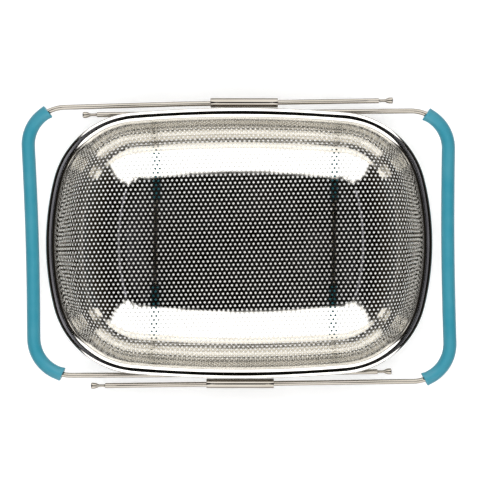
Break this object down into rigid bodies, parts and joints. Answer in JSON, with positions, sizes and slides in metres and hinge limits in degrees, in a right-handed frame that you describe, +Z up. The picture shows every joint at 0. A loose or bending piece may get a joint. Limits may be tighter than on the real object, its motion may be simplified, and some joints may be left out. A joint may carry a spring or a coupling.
{
  "type": "over-the-sink colander",
  "caption": "Oval perforated steel colander bowl with a rolled rim, wire feet in silicone sleeves, and U-shaped wire handles with silicone grips that slide out to span a sink.",
  "frame": {"origin": "on the counter, under the middle of the bowl", "axes": "+X along the bowl, the way the right handle pulls out; +Y to the back; +Z up out of the bowl"},
  "size_m": [0.408, 0.2734, 0.0947],
  "materials": {
    "polished_steel": "polished stainless sheet",
    "wire_steel": "polished stainless wire and tube",
    "teal_silicone": "matte silicone"
  },
  "bodies": {
    "basket": {"basket_bowl": "polished_steel", "rim_ring": "polished_steel", "back_inner_tube": "wire_steel", "back_outer_tube": "wire_steel", "front_inner_tube": "wire_steel", "front_outer_tube": "wire_steel", "left_foot_wire": "wire_steel", "right_foot_wire": "wire_steel", "left_back_foot_sleeve": "teal_silicone", "left_front_foot_sleeve": "teal_silicone", "right_back_foot_sleeve": "teal_silicone", "right_front_foot_sleeve": "teal_silicone"},
    "left_handle": {"left_handle_wire": "wire_steel", "left_grip_sleeve": "teal_silicone"},
    "right_handle": {"right_handle_wire": "wire_steel", "right_grip_sleeve": "teal_silicone"}
  },
  "joints": [
    {"name": "left_handle_slide", "type": "slide", "parent": "basket", "child": "left_handle", "axis": [-0.9999, -0.0166, 0], "range_m": [-0.0065, 0.093]},
    {"name": "right_handle_slide", "type": "slide", "parent": "basket", "child": "right_handle", "axis": [0.9999, 0.0131, 0], "range_m": [-0.0075, 0.0935]}
  ]
}
